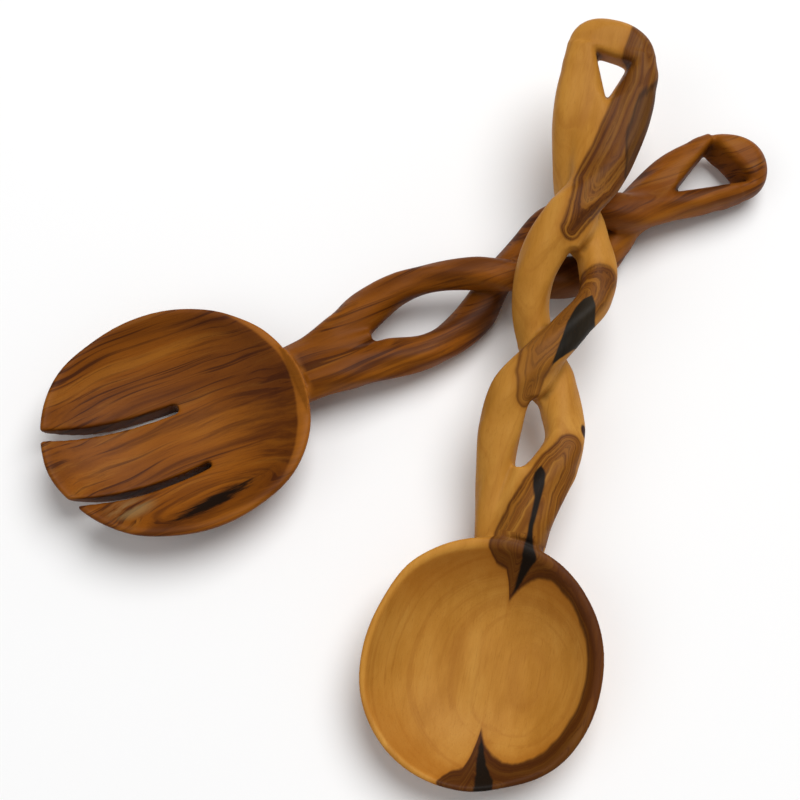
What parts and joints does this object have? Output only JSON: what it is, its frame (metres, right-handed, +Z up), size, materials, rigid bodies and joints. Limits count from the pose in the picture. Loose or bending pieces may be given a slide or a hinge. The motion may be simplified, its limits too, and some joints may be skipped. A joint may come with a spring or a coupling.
{
  "type": "salad servers",
  "caption": "Carved olive-wood salad fork and spoon with open twisted handles and hanging loops, lying crossed; shallow round bowls, the fork slotted.",
  "frame": {"origin": "on the table, under the middle of the crossed pair's bounding box", "axes": "+Y along the spoon's handle from its bowl to its loop, +Z up from the table, X across, with the fork's bowl on the -X side"},
  "size_m": [0.2552, 0.2976, 0.0507],
  "materials": {
    "olive_wood_fork": "oiled satin, chestnut brown with dark streaks along the handle and a knot in the bowl",
    "olive_wood_spoon": "oiled satin, honey sapwood with brown heartwood and a near-black core line"
  },
  "bodies": {
    "fork": {"salad_fork": "olive_wood_fork"},
    "spoon": {"salad_spoon": "olive_wood_spoon"}
  },
  "joints": [
    {"name": "spoon_lift", "type": "slide", "parent": "fork", "child": "spoon", "axis": [0, 0, 1], "range_m": [0, 0.06]}
  ]
}
